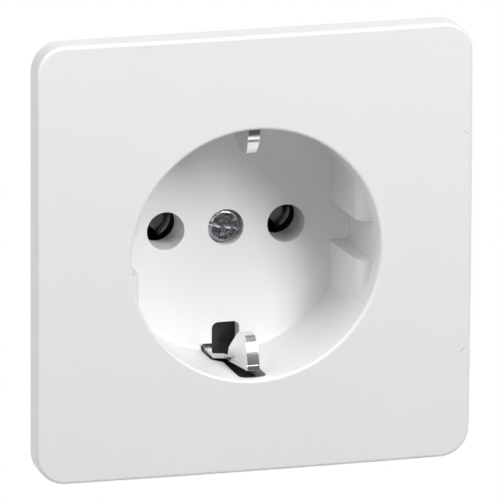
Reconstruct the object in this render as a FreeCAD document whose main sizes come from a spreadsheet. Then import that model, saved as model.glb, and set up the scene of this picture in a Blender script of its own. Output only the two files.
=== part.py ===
import FreeCAD, Part
import Sketcher
import math
import os
import re
from FreeCAD import Placement, Rotation, Vector

# Flush socket outlet of the round earthed type: a one-piece cover with its well, held by one screw
# on an insert that carries the contacts, the earth bow, the terminals and two spreading claws.
# +Z is up, the front faces -Y, and the origin is on the well's axis in the plane of the wall.
# Depths are measured along Y from that plane, to the front as well as to the rear.

SIZES = [
    ("plate_side", 68.0, "width and height of the cover plate"),
    ("plate_corner", 4.5, "corner radius of the plate, seen from the front"),
    ("edge_height", 4.4, "height of the plate at the middle of an edge"),
    ("crown", 0.6, "rise of the plate's face from the edge to the middle"),
    ("edge_round", 1.4, "rounding between face and edge"),
    ("plate_wall", 1.8, "wall of the plate"),
    ("skirt_inset_corner", 2.7, "inner corner radius of the skirt"),
    ("rib_width", 1.2, "stiffening ribs behind the face"),
    ("rib_height", 1.0, "height of these ribs"),
    ("well_bore", 39.0, "bore of the well"),
    ("well_depth", 17.5, "depth of the well below the middle of the face"),
    ("well_wall", 1.8, "wall of the well's tube"),
    ("floor_sheet", 2.2, "floor of the well"),
    ("floor_round", 0.5, "rounding between floor and wall of the well"),
    ("rim_round", 0.9, "rounding of the well's mouth"),
    ("guide_height", 3.05, "height of the guide blocks' flats above the wall"),
    ("guide_channel", 6.2, "channel between the two guide blocks of a side"),
    ("guide_below_face", 3.7, "front end of the guide blocks, below the face"),
    ("guide_round", 2.2, "rounding of the guide blocks towards the mouth"),
    ("guide_draft", 2.6, "draft of the guide blocks' flats, in degrees"),
    ("pin_pitch", 19.0, "distance of the two pin holes"),
    ("pin_hole", 5.9, "diameter of a pin hole"),
    ("collar_wall", 1.2, "wall of the collar behind a pin hole"),
    ("collar_length", 3.6, "collar behind the floor"),
    ("seat_bore", 5.6, "counterbore for the cover screw's head"),
    ("seat_depth", 2.6, "depth of that counterbore"),
    ("seat_land", 1.2, "plastic left under the screw head"),
    ("seat_wall", 1.5, "wall of the boss round the counterbore"),
    ("slot_front", 1.8, "front end of an earth slot, below the face"),
    ("slot_clearance", 0.3, "gap between the earth clip and its slot"),
    ("opening_reach", 4.6, "opening in the floor, from the well's wall inwards"),
    ("opening_corner", 1.0, "corner radius of that opening"),
    ("ring_sheet", 1.0, "sheet of the support ring"),
    ("ring_web", 0.7, "web of the support ring outside its slots"),
    ("ring_corner_cut", 7.0, "cut corners of the ring"),
    ("ring_clearance", 0.4, "gap between the ring and the well's tube"),
    ("box_screw_pitch", 60.0, "distance of the slots for the wall box's screws"),
    ("box_slot_width", 3.8, "width of such a slot"),
    ("box_slot_length", 5.0, "length of such a slot, end to end"),
    ("bow_sheet", 0.8, "sheet of the earth bow"),
    ("bow_width", 7.14, "width of the bow behind the clips"),
    ("bow_bend", 0.8, "inner bend radius of the bow"),
    ("bow_float", 0.75, "the bow lies higher than the middle of its slots by"),
    ("bow_lean", 1.1, "the bow's arms lean inwards at their ends by"),
    ("bow_window_gap", 0.4, "window in the bow behind each floor opening, gap all round"),
    ("bow_collar", 2.5, "radius of the drawn collar that carries the thread"),
    ("bow_collar_length", 1.0, "length of that collar"),
    ("clip_width", 3.74, "width of an earth clip at its foot"),
    ("clip_nose_width", 1.9, "width of a clip along its front and ridge"),
    ("clip_front_height", 1.9, "upright front of a clip above its arm"),
    ("clip_brow", 1.4, "depth of the rounding that leads from a clip's front to its ridge"),
    ("clip_front", 15.7, "front of a clip, ahead of the well's floor"),
    ("clip_shoulder", 5.3, "where the arm narrows to the clip, ahead of the floor"),
    ("clip_reach", 4.3, "height of a clip's ridge above its arm"),
    ("wall_gap", 0.2, "gap between the well's tube and the base"),
    ("base_wall", 2.5, "wall of the base round the well's tube"),
    ("base_step", 1.4, "step from the wall round the tube to the terminal block"),
    ("base_front_wall", 1.5, "wall between the well and the contact chambers"),
    ("base_depth", 31.5, "rear face of the base"),
    ("boss_radius", 3.2, "bosses that carry the support ring"),
    ("boss_depth", 9.0, "depth of these bosses"),
    ("boss_offset", 2.6, "middle of a boss outside the base's wall"),
    ("rivet_shank", 2.6, "diameter of the ring's rivets"),
    ("rivet_head", 4.6, "diameter of a rivet head"),
    ("rivet_head_height", 0.9, "height of a rivet head"),
    ("rivet_length", 6.0, "length of a rivet's shank in the base"),
    ("fit_gap", 0.05, "gap round pieces that are pressed or screwed in"),
    ("lid_sheet", 2.0, "thickness of the terminal cover"),
    ("chamber_half", 4.2, "half width of a terminal chamber"),
    ("chamber_low", 4.4, "chamber below the pin's axis"),
    ("chamber_top", 16.2, "far end of a chamber, from the pin's axis"),
    ("contact_sheet", 0.8, "brass sheet of the contacts"),
    ("pin_diameter", 4.8, "plug pin that the contacts grip"),
    ("contact_inset", 2.6, "mouth of a contact behind the chamber's front wall"),
    ("contact_back", 0.85, "web of a contact ahead of the base's rear face"),
    ("contact_split", 1.6, "split between the two blades of a contact"),
    ("contact_flare", 0.7, "flare of a contact's mouth"),
    ("busbar_place", 7.6, "wire face carrier of a terminal, from the pin's axis"),
    ("busbar_inset", 1.6, "front end of a busbar behind the chamber's front wall"),
    ("grip_sheet", 0.5, "steel of the grip springs round the contacts"),
    ("grip_inset", 2.2, "front edge of a grip spring behind the contact's mouth"),
    ("grip_length", 4.0, "length of a grip spring"),
    ("clamp_sheet", 0.4, "steel of the clamp springs"),
    ("clamp_width", 3.6, "width of a clamp spring"),
    ("clamp_pitch", 4.2, "distance of two clamp springs and their wire holes"),
    ("clamp_bend", 0.8, "inner bend radius of a clamp spring"),
    ("clamp_inset", 2.9, "clamp spring's fixed leg behind the chamber's front wall"),
    ("clamp_back", 3.1, "bend of a clamp spring ahead of the base's rear face"),
    ("clamp_tip_inset", 1.7, "tip of the free leg behind the end of the fixed leg"),
    ("clamp_tip_gap", 0.5, "gap between that tip and the busbar"),
    ("wire_hole", 2.8, "diameter of a wire entry"),
    ("wire_place", 9.9, "wire entries, from the pin's axis"),
    ("wire_funnel", 0.5, "chamfer of a wire entry"),
    ("button_width", 6.0, "width of a release button"),
    ("button_height", 2.0, "height of a release button"),
    ("button_place", 13.0, "middle of a release button, from the pin's axis"),
    ("button_proud", 1.4, "button proud of the terminal cover"),
    ("button_flange", 0.8, "flange that keeps the button in, all round"),
    ("button_flange_sheet", 1.0, "thickness of that flange"),
    ("button_gap", 0.12, "gap round a button"),
    ("button_touch", 0.05, "gap between a button's foot and the springs"),
    ("lid_screw_shank", 2.2, "screws of the terminal cover"),
    ("lid_screw_head", 4.0, "head diameter of these screws"),
    ("lid_screw_height", 1.2, "head height of these screws"),
    ("lid_screw_length", 7.0, "length of these screws in the base"),
    ("lid_screw_inset", 4.2, "these screws inside the block's edge"),
    ("cover_screw_head", 5.2, "head diameter of the cover screw"),
    ("cover_screw_height", 1.8, "head height of the cover screw"),
    ("cover_screw_shank", 3.0, "thread diameter of the cover screw"),
    ("cover_screw_length", 9.0, "length of the cover screw under its head"),
    ("claw_sheet", 1.5, "steel of the claws"),
    ("claw_width", 9.0, "width of a claw"),
    ("claw_height", 9.5, "middle of a claw, above or below the axis"),
    ("claw_arm_gap", 0.5, "gap between the well's tube and a claw's arm"),
    ("claw_tab", 3.2, "front face of a claw's tab"),
    ("claw_bend", 0.8, "inner bend radius of a claw"),
    ("claw_tab_end", 3.6, "claw's tab beyond its screw"),
    ("claw_end", 22.0, "bend of a claw's tip"),
    ("claw_tip_out", 2.6, "tip bent outwards by"),
    ("claw_tip_back", 1.2, "tip bent back by"),
    ("claw_tooth", 1.6, "depth of the notches between a claw's teeth"),
    ("trunnion", 1.8, "diameter of a claw's trunnions"),
    ("lug_sheet", 1.0, "hinge lugs of the ring"),
    ("lug_gap", 0.3, "gap between a claw and its lugs"),
    ("lug_reach", 1.8, "lug round the trunnion"),
    ("hinge_gap", 0.05, "running gap of a trunnion"),
    ("claw_pocket_gap", 1.2, "room round a claw in the base"),
    ("claw_lever", 6.2, "claw screw outside the claw's arm"),
    ("claw_screw_shank", 3.5, "thread diameter of a claw screw"),
    ("claw_screw_head", 6.0, "head diameter of a claw screw"),
    ("claw_screw_height", 1.8, "head height of a claw screw"),
    ("claw_screw_length", 10.0, "length of a claw screw under its head"),
    ("claw_screw_gap", 0.1, "gap round a claw screw in the ring and in the claw"),
    ("claw_tilt_room", 0.65, "extra half length of the claw's screw hole for its tilt"),
    ("recess_arm", 0.8, "width of an arm of the cross recess in a screw head"),
    ("recess_span", 3.2, "span of that cross"),
    ("recess_depth", 1.0, "depth of that cross"),
    ("recess_slot", 0.6, "width of the straight slot across a screw head"),
    ("recess_tick", 0.24, "width of the four ticks between the arms of the cover screw's cross"),
    ("recess_tick_depth", 0.2, "depth of these ticks"),
    ("cover_screw_turn", 12.0, "the cover screw's slot, turned from level, in degrees"),
    ("recess_slot_depth", 0.5, "depth of that slot"),
]

doc = FreeCAD.newDocument("socket_outlet")
sheet = doc.addObject("Spreadsheet::Sheet", "Sizes")
for row, (alias, value, meaning) in enumerate(SIZES, start=1):
    sheet.set(f"A{row}", alias)
    sheet.set(f"B{row}", str(value))
    sheet.setAlias(f"B{row}", alias)
    sheet.set(f"C{row}", meaning)
doc.recompute()
ALIASES = {alias for alias, _, _ in SIZES}
PIECES = []

# Places that several pieces share, as expressions of the sizes
FACE = "(ring_sheet + edge_height + crown)"
FLOOR = f"(well_depth - {FACE})"
FLOOR_REAR = f"({FLOOR} + floor_sheet)"
WELL_RADIUS = "(well_bore / 2)"
TUBE_RADIUS = "(well_bore / 2 + well_wall)"
CROWN_RADIUS = "(((plate_side / 2)^2 + crown^2) / (2 * crown))"
GUIDE_FLAT = f"({WELL_RADIUS} - guide_height)"
BOW_ARM = WELL_RADIUS
BOW_FRONT = f"({FLOOR} + seat_depth + seat_land)"
BASE_FRONT = f"({BOW_FRONT} + bow_sheet)"
CHAMBER_FRONT = f"({BASE_FRONT} + base_front_wall)"
CAGE_RADIUS = f"({TUBE_RADIUS} + wall_gap + base_wall)"
BASE_RADIUS = f"({CAGE_RADIUS} - base_step)"
BOSS_X = f"(({CAGE_RADIUS} + boss_offset) * 0.66)"
BOSS_Z = f"(({CAGE_RADIUS} + boss_offset) * 0.75)"
RING_HALF = "(box_screw_pitch / 2 + box_slot_length / 2 + ring_web)"
CLAW_ARM = f"({TUBE_RADIUS} + claw_arm_gap)"
CLAW_SCREW = f"({CLAW_ARM} + claw_lever)"
CONTACT_FRONT = f"({CHAMBER_FRONT} + contact_inset)"
CONTACT_REAR = "(base_depth - contact_back)"
CLAMP_FRONT = f"({CHAMBER_FRONT} + clamp_inset)"
CLAMP_REAR = "(base_depth - clamp_back)"
CLAMP_TIP = f"({CLAMP_FRONT} + clamp_tip_inset)"
CLAMP_END = "(chamber_top - fit_gap)"
CLAMP_LOW = "(busbar_place + contact_sheet + clamp_tip_gap)"
BUTTON_FOOT = (
    f"({CLAMP_REAR} - ({CLAMP_END} - button_place - button_height / 2)"
    f" * ({CLAMP_REAR} - {CLAMP_TIP}) / ({CLAMP_END} - {CLAMP_LOW}) + button_touch)"
)
HINGE_X = f"({CLAW_ARM} + claw_sheet + claw_bend - (claw_bend + claw_sheet / 2) * 0.70710678)"
HINGE_Y = "(claw_tab + claw_sheet + claw_bend - (claw_bend + claw_sheet / 2) * 0.70710678)"
LUG_INNER = "(claw_width / 2 + lug_gap)"
POCKET_HALF = "(claw_width / 2 + lug_gap + lug_sheet + claw_pocket_gap / 2)"
LID_REAR = "(base_depth + lid_sheet)"


def bound(text):
    """The expression with the name of each size written out in full."""
    def cell(word):
        return "Sizes." + word.group(0) if word.group(0) in ALIASES else word.group(0)
    return re.sub(r"[a-z][a-z_]*", cell, str(text))


def number(text):
    """The present value of an expression, in millimetres."""
    return float(sheet.evalExpression(bound(text)))


def new_body(label):
    body = doc.addObject("PartDesign::Body", label)
    body.Label = label
    PIECES.append(body)
    return body


def new_sketch(body, role, offset="0"):
    """An empty outline on one of the piece's own middle planes, moved along its normal."""
    plane = next(item for item in body.Origin.OriginFeatures if item.Role == role)
    sketch = body.newObject("Sketcher::SketchObject", body.Name + "_sketch")
    sketch.AttachmentSupport = [(plane, "")]
    sketch.MapMode = "FlatFace"
    sketch.setExpression("AttachmentOffset.Base.z", bound(offset))
    return sketch


def place_point(sketch, geometry, end, x, y):
    """Ties one end or centre of an outline to a pair of expressions."""
    for kind, text in (("DistanceX", x), ("DistanceY", y)):
        index = sketch.addConstraint(Sketcher.Constraint(kind, -1, 1, geometry, end, number(text)))
        sketch.setExpression(f"Constraints[{index}]", bound(text))


def outline(sketch, corners, arcs=None):
    """A closed outline. arcs gives a side's radius by its index, negative where it bulges inwards."""
    arcs = arcs or {}
    points = [Vector(number(x), number(y), 0) for x, y in corners]
    count = len(points)
    turn = sum(
        points[i].x * points[(i + 1) % count].y - points[(i + 1) % count].x * points[i].y
        for i in range(count)
    )
    sides = []
    for i, start in enumerate(points):
        end = points[(i + 1) % count]
        if i not in arcs:
            index = sketch.addGeometry(Part.LineSegment(start, end), False)
            sides.append((index, 1, 2))
            continue
        radius = abs(number(arcs[i]))
        out = Vector(end.y - start.y, start.x - end.x, 0).normalize() * math.copysign(1, turn)
        if number(arcs[i]) < 0:
            out = out * -1
        half = start.distanceToPoint(end) / 2
        rise = radius - math.sqrt(max(radius * radius - half * half, 0))
        middle = (start + end) * 0.5 + out * rise
        index = sketch.addGeometry(Part.Arc(start, middle, end), False)
        swapped = sketch.getPoint(index, 1).distanceToPoint(start) > 1e-6
        sides.append((index, 2, 1) if swapped else (index, 1, 2))
    for i, (index, _, last) in enumerate(sides):
        following, first, _ = sides[(i + 1) % count]
        sketch.addConstraint(Sketcher.Constraint("Coincident", index, last, following, first))
    for (index, first, _), (x, y) in zip(sides, corners):
        place_point(sketch, index, first, x, y)
    for i, radius in arcs.items():
        index = sketch.addConstraint(
            Sketcher.Constraint("Radius", sides[i][0], abs(number(radius)))
        )
        sketch.setExpression(f"Constraints[{index}]", bound(f"abs({radius})"))


def rectangle(sketch, left, right, low, high):
    outline(sketch, [(left, low), (right, low), (right, high), (left, high)])


def circle(sketch, x, y, radius):
    centre = Vector(number(x), number(y), 0)
    index = sketch.addGeometry(Part.Circle(centre, Vector(0, 0, 1), number(radius)), False)
    place_point(sketch, index, 3, x, y)
    size = sketch.addConstraint(Sketcher.Constraint("Radius", index, number(radius)))
    sketch.setExpression(f"Constraints[{size}]", bound(radius))


def grow(body, kind, sketch, checked=True, **sizes):
    """Adds or cuts one form, ties its lengths to the sizes and sees that the volume follows."""
    before = body.Shape.Volume if body.Tip else 0.0
    feature = body.newObject("PartDesign::" + kind, body.Name + "_" + kind.lower())
    feature.Profile = sketch
    for name, value in sizes.items():
        if isinstance(value, str) and name in ("Length", "Length2", "Angle"):
            feature.setExpression(name, bound(value))
        else:
            setattr(feature, name, value)
    doc.recompute()
    gained = body.Shape.Volume - before
    added = kind in ("Pad", "Revolution")
    if body.Shape.Volume < 1 or (checked and (gained <= 0) == added):
        raise RuntimeError(f"{body.Label}: {kind} changed the volume by {gained:.3f}")
    return feature


def pad(body, sketch, length, **more):
    return grow(body, "Pad", sketch, Length=length, **more)


def pocket(body, sketch, length, **more):
    return grow(body, "Pocket", sketch, Length=length, **more)


def turned(body, kind, sketch):
    """A full turn about the Y axis of a profile drawn in the XY plane."""
    return grow(body, kind, sketch, ReferenceAxis=(sketch, ["V_Axis"]), Angle="360")


def dress(body, kind, size, chosen):
    """A rounding or a chamfer on those edges of the piece that chosen accepts."""
    base = body.Tip
    edges = [f"Edge{i}" for i, edge in enumerate(base.Shape.Edges, start=1) if chosen(edge)]
    if not edges:
        raise RuntimeError(f"{body.Label}: no edge for the {kind}")
    feature = body.newObject("PartDesign::" + kind, body.Name + "_" + kind.lower())
    feature.Base = (base, edges)
    feature.setExpression("Radius" if kind == "Fillet" else "Size", bound(size))
    doc.recompute()
    if not feature.isValid() or body.Shape.Volume < 1:
        raise RuntimeError(f"{body.Label}: {kind} failed")
    return feature


def along_depth(edge):
    box = edge.BoundBox
    return box.YLength > 0.2 and box.XLength < 1e-6 and box.ZLength < 1e-6


def new_solid(label, shape):
    """A piece put together from ready solids, such as bent sheet and turned pins."""
    item = doc.addObject("Part::Feature", label)
    item.Label = label
    item.Shape = shape
    item.Placement = Placement()
    PIECES.append(item)
    return item


def bent_sheet(corners, sheet_size, bend, across, to_space):
    """A bent strip. corners are the bends of one face in a plane, the sheet lies to their left,
    and the strip reaches from across[0] to across[1] at right angles to that plane."""
    def flat(point):
        return Vector(point[0], point[1], 0)

    def line_of(points, radii):
        edges = []
        start = points[0]
        for i in range(1, len(points) - 1):
            back = (points[i - 1] - points[i]).normalize()
            ahead = (points[i + 1] - points[i]).normalize()
            half = back.getAngle(ahead) / 2
            reach = radii[i] / math.tan(half)
            entry = points[i] + back * reach
            leave = points[i] + ahead * reach
            centre = points[i] + (back + ahead).normalize() * (radii[i] / math.sin(half))
            middle = centre + (points[i] - centre).normalize() * radii[i]
            edges.append(Part.LineSegment(start, entry).toShape())
            edges.append(Part.Arc(entry, middle, leave).toShape())
            start = leave
        edges.append(Part.LineSegment(start, points[-1]).toShape())
        return edges

    face_line = [flat(point) for point in corners]
    ways = [(b - a).normalize() for a, b in zip(face_line, face_line[1:])]
    normals = [Vector(-way.y, way.x, 0) for way in ways]
    back_line = [face_line[0] + normals[0] * sheet_size]
    inner, outer = [0.0], [0.0]
    for i in range(1, len(face_line) - 1):
        mitre = (normals[i - 1] + normals[i]).normalize()
        back_line.append(face_line[i] + mitre * (sheet_size / mitre.dot(normals[i])))
        to_left = ways[i - 1].cross(ways[i]).z > 0
        inner.append(bend + sheet_size if to_left else bend)
        outer.append(bend if to_left else bend + sheet_size)
    back_line.append(face_line[-1] + normals[-1] * sheet_size)
    edges = line_of(face_line, inner)
    edges.append(Part.LineSegment(face_line[-1], back_line[-1]).toShape())
    edges += line_of(back_line[::-1], [0.0] + outer[:0:-1])
    edges.append(Part.LineSegment(back_line[0], face_line[0]).toShape())
    face = Part.Face(Part.Wire(Part.__sortEdges__(edges)))
    solid = face.extrude(Vector(0, 0, across[1] - across[0]))
    solid.translate(Vector(0, 0, across[0]))
    solid.transformShape(to_space)
    return solid


def box_between(low, high):
    size = Vector(*high) - Vector(*low)
    return Part.makeBox(size.x, size.y, size.z, Vector(*low))


def rod(radius, start, end):
    way = Vector(*end) - Vector(*start)
    return Part.makeCylinder(radius, way.Length, Vector(*start), way)


def make_cover():
    """One moulding: crowned plate, skirt, ribs, well with its guide blocks, floor and collars."""
    body = new_body("cover")
    half = "plate_side / 2"
    plate = new_sketch(body, "XZ_Plane", "ring_sheet")
    rectangle(plate, f"-{half}", half, f"-{half}", half)
    pad(body, plate, "edge_height + crown")
    dress(body, "Fillet", "plate_corner", along_depth)

    hollow = new_sketch(body, "XZ_Plane", "ring_sheet")
    inside = "(plate_side / 2 - plate_wall)"
    corner = "skirt_inset_corner"
    outline(
        hollow,
        [
            (f"-{inside} + {corner}", f"-{inside}"),
            (f"{inside} - {corner}", f"-{inside}"),
            (inside, f"-{inside} + {corner}"),
            (inside, f"{inside} - {corner}"),
            (f"{inside} - {corner}", inside),
            (f"-{inside} + {corner}", inside),
            (f"-{inside}", f"{inside} - {corner}"),
            (f"-{inside}", f"-{inside} + {corner}"),
        ],
        {1: corner, 3: corner, 5: corner, 7: corner},
    )
    pocket(body, hollow, "edge_height - plate_wall", Reversed=True)

    ribs = new_sketch(body, "XZ_Plane", "ring_sheet + edge_height - plate_wall - rib_height")
    for side in ("-1", "1"):
        for x, z in (("rib_width / 2", f"{inside} + 0.2"), (f"{inside} + 0.2", "rib_width / 2")):
            start = f"({TUBE_RADIUS} - 0.5)"
            if x.startswith("rib"):
                a, b = f"{side} * {start}", f"{side} * ({z})"
                rectangle(ribs, f"-({x})", x, *((b, a) if side == "-1" else (a, b)))
            else:
                a, b = f"{side} * {start}", f"{side} * ({x})"
                rectangle(ribs, *((b, a) if side == "-1" else (a, b)), f"-({z})", z)
    pad(body, ribs, "rib_height + 0.2")

    tube = new_sketch(body, "XZ_Plane", f"-{FLOOR_REAR}")
    circle(tube, "0", "0", TUBE_RADIUS)
    pad(body, tube, f"{FLOOR_REAR} + ring_sheet + edge_height - plate_wall / 2")

    collars = new_sketch(body, "XZ_Plane", f"-({FLOOR_REAR} + collar_length)")
    for side in ("-1", "1"):
        circle(collars, f"{side} * pin_pitch / 2", "0", "pin_hole / 2 + collar_wall")
    pad(body, collars, "collar_length + 0.2")
    boss = new_sketch(body, "XZ_Plane", f"-{BOW_FRONT}")
    circle(boss, "0", "0", "seat_bore / 2 + seat_wall")
    pad(body, boss, f"{BOW_FRONT} - {FLOOR_REAR} + 0.2")

    well = new_sketch(body, "XZ_Plane", f"-{FLOOR}")
    circle(well, "0", "0", WELL_RADIUS)
    pocket(body, well, "well_depth + 2", Reversed=True)
    bore = number(WELL_RADIUS)

    def on_bore(edge):
        middle = edge.valueAt((edge.FirstParameter + edge.LastParameter) / 2)
        return edge.BoundBox.YLength < 1e-3 and abs(math.hypot(middle.x, middle.z) - bore) < 1e-3

    dress(body, "Fillet", "floor_round", lambda edge: on_bore(edge) and edge.BoundBox.YMax > 0)

    dome = new_sketch(body, "XY_Plane")
    inner = f"({WELL_RADIUS} - 3)"
    outer = "(plate_side * 0.75)"
    outline(
        dome,
        [
            (inner, f"{CROWN_RADIUS} - sqrt({CROWN_RADIUS}^2 - {inner}^2) - {FACE}"),
            (outer, f"{CROWN_RADIUS} - sqrt({CROWN_RADIUS}^2 - {outer}^2) - {FACE}"),
            (outer, f"-{FACE} - 2"),
            (inner, f"-{FACE} - 2"),
        ],
        {0: f"-{CROWN_RADIUS}"},
    )
    turned(body, "Groove", dome)
    low = number("-ring_sheet - edge_height * 0.75")
    outside = number("plate_side / 2 - plate_corner")

    def front_edge(edge):
        middle = edge.BoundBox.Center
        return edge.BoundBox.YMax < low and max(abs(middle.x), abs(middle.z)) > outside

    dress(body, "Fillet", "edge_round", front_edge)
    dress(body, "Fillet", "rim_round", lambda edge: on_bore(edge) and edge.BoundBox.YMax < low)

    guides = new_sketch(body, "XZ_Plane", f"-({FLOOR} + 0.2)")
    back = f"({WELL_RADIUS} + well_wall / 2)"
    top = f"sqrt({back}^2 - {GUIDE_FLAT}^2)"
    side_x = f"sqrt({back}^2 - (guide_channel / 2)^2)"
    for sx in ("-1", "1"):
        for sz in ("-1", "1"):
            outline(
                guides,
                [
                    (f"{sx} * {GUIDE_FLAT}", f"{sz} * guide_channel / 2"),
                    (f"{sx} * {side_x}", f"{sz} * guide_channel / 2"),
                    (f"{sx} * {GUIDE_FLAT}", f"{sz} * {top}"),
                ],
                {1: back},
            )
    pad(body, guides, f"well_depth - guide_below_face + 0.2")
    flat = number(GUIDE_FLAT)

    def guide_front(edge):
        box = edge.BoundBox
        on_flat = abs(abs(box.Center.x) - flat) < 1.5 and box.XLength < 1e-3
        return on_flat and box.YLength < 1e-3 and box.YMax < 0

    draft_guides(body, flat)
    dress(body, "Fillet", "guide_round", guide_front)

    holes = new_sketch(body, "XZ_Plane", f"-({FLOOR_REAR} + collar_length + 1)")
    for side in ("-1", "1"):
        circle(holes, f"{side} * pin_pitch / 2", "0", "pin_hole / 2")
    circle(holes, "0", "0", "cover_screw_shank / 2 + claw_screw_gap")
    pocket(body, holes, "floor_sheet + collar_length + 2", Reversed=True)
    seat = new_sketch(body, "XZ_Plane", f"-{FLOOR}")
    circle(seat, "0", "0", "seat_bore / 2")
    pocket(body, seat, "seat_depth")

    arm_slot = new_sketch(body, "XY_Plane")
    wide = "(bow_width / 2 + slot_clearance)"
    slim = "(clip_width / 2 + slot_clearance)"
    step = f"({FLOOR} - clip_shoulder - slot_clearance)"
    nose = f"(slot_front - {FACE})"
    outline(
        arm_slot,
        [
            (f"-{wide}", f"{FLOOR_REAR} + 1"),
            (wide, f"{FLOOR_REAR} + 1"),
            (wide, step),
            (slim, f"{step} - ({wide} - {slim}) * 0.5"),
            (slim, f"{nose} + opening_corner"),
            (f"{slim} - opening_corner", nose),
            (f"-{slim} + opening_corner", nose),
            (f"-{slim}", f"{nose} + opening_corner"),
            (f"-{slim}", f"{step} - ({wide} - {slim}) * 0.5"),
            (f"-{wide}", step),
        ],
        {4: "opening_corner", 6: "opening_corner"},
    )
    high = f"({TUBE_RADIUS} + 0.1)"
    low_cut = f"({BOW_ARM} - bow_float - bow_lean / 4 - slot_clearance)"
    tall = new_sketch(body, "XZ_Plane", f"-{FLOOR}")
    for side in ("-1", "1"):
        corner = "opening_corner"
        a = f"{side} * ({BOW_ARM} - opening_reach)"
        b = f"{side} * {high}"
        outline(
            tall,
            [
                (f"-{slim}", f"{a} + {side} * {corner}"),
                (f"-{slim} + {corner}", a),
                (f"{slim} - {corner}", a),
                (slim, f"{a} + {side} * {corner}"),
                (slim, b),
                (f"-{slim}", b),
            ],
            {0: corner, 2: corner},
        )
    pocket(body, tall, "floor_sheet + 1")
    radial_slots(body, arm_slot, low_cut, high)
    return body


def draft_guides(body, flat):
    """Leans the flats of the guide blocks outwards, from the well's floor to its mouth."""
    base = body.Tip
    before = body.Shape.Volume
    flats = [
        f"Face{i}"
        for i, face in enumerate(base.Shape.Faces, start=1)
        if face.BoundBox.XLength < 1e-6 and abs(abs(face.CenterOfMass.x) - flat) < 1e-3
    ]
    feature = body.newObject("PartDesign::Draft", "guide_draft")
    feature.Base = (base, flats)
    level = next(
        f"Face{i}"
        for i, face in enumerate(base.Shape.Faces, start=1)
        if face.BoundBox.YLength < 1e-6 and abs(face.CenterOfMass.y - number(FLOOR)) < 1e-3
    )
    feature.NeutralPlane = (base, [level])
    feature.setExpression("Angle", bound("guide_draft"))
    doc.recompute()
    if feature.isValid() and body.Shape.Volume > before:
        feature.Reversed = True
        doc.recompute()
    if not feature.isValid() or body.Shape.Volume > before:
        raise RuntimeError(f"{body.Label}: the draft failed on {flats} at {level}")


def radial_slots(body, sketch, low, high):
    """Cuts the outline through the tube's wall above and below, but not through the floor's middle."""
    for side in ("1", "-1"):
        copy = sketch if side == "1" else doc.copyObject(sketch, False)
        if side == "-1":
            body.addObject(copy)
        copy.setExpression("AttachmentOffset.Base.z", bound(f"{side} * {low}"))
        pocket(body, copy, f"{high} - {low}", Reversed=side == "1")


def make_ring():
    """Support ring: galvanised sheet with slots for the box screws and hinge lugs for the claws."""
    body = new_body("support_ring")
    sheet_plan = new_sketch(body, "XZ_Plane", "0")
    half = RING_HALF
    cut = f"({RING_HALF} - ring_corner_cut)"
    outline(
        sheet_plan,
        [
            (f"-{cut}", f"-{half}"),
            (cut, f"-{half}"),
            (half, f"-{cut}"),
            (half, cut),
            (cut, half),
            (f"-{cut}", half),
            (f"-{half}", cut),
            (f"-{half}", f"-{cut}"),
        ],
    )
    circle(sheet_plan, "0", "0", f"{TUBE_RADIUS} + ring_clearance")
    for side in ("-1", "1"):
        circle(
            sheet_plan,
            f"{side} * {CLAW_SCREW}",
            f"-{side} * claw_height",
            "claw_screw_shank / 2 + claw_screw_gap",
        )
        for other in ("-1", "1"):
            circle(
                sheet_plan,
                f"{side} * {BOSS_X}",
                f"{other} * {BOSS_Z}",
                "rivet_shank / 2 + fit_gap",
            )
    pad(body, sheet_plan, "ring_sheet")
    box_slots(body)

    for side in ("-1", "1"):
        for edge in ("-1", "1"):
            middle = f"(-{side} * claw_height + {edge} * ({LUG_INNER} + lug_sheet / 2))"
            lug = new_sketch(body, "XY_Plane", f"{middle} - lug_sheet / 2")
            inner = f"{side} * ({TUBE_RADIUS} + fit_gap)"
            outer = f"{side} * ({HINGE_X} + lug_reach)"
            deep = f"({HINGE_Y} + lug_reach)"
            left, right = (inner, outer) if side == "1" else (outer, inner)
            outline(
                lug,
                [
                    (left, "-0.2"),
                    (right, "-0.2"),
                    (right, f"{deep} - 0.9"),
                    (f"{right} - 0.9", deep),
                    (f"{left} + 0.9", deep),
                    (left, f"{deep} - 0.9"),
                ],
                {2: "0.9", 4: "0.9"},
            )
            circle(lug, f"{side} * {HINGE_X}", HINGE_Y, "trunnion / 2 + hinge_gap")
            pad(body, lug, "lug_sheet")
    return body


def box_slots(body):
    """Four slots with round ends that point at the axis, for the screws of the wall box."""
    wide = "(box_slot_width / 2)"
    reach = "((box_slot_length - box_slot_width) / 2)"
    middles = new_sketch(body, "XZ_Plane", "ring_sheet + 1")
    for side in ("-1", "1"):
        near, far = f"{side} * box_screw_pitch / 2 - {reach}", f"{side} * box_screw_pitch / 2 + {reach}"
        rectangle(middles, near, far, f"-{wide}", wide)
        rectangle(middles, f"-{wide}", wide, near, far)
    pocket(body, middles, "ring_sheet + 2")
    for end in ("-1", "1"):
        ends = new_sketch(body, "XZ_Plane", "ring_sheet + 1")
        for side in ("-1", "1"):
            place = f"{side} * (box_screw_pitch / 2 + {end} * {reach})"
            circle(ends, place, "0", wide)
            circle(ends, "0", place, wide)
        pocket(body, ends, "ring_sheet + 2")


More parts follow.
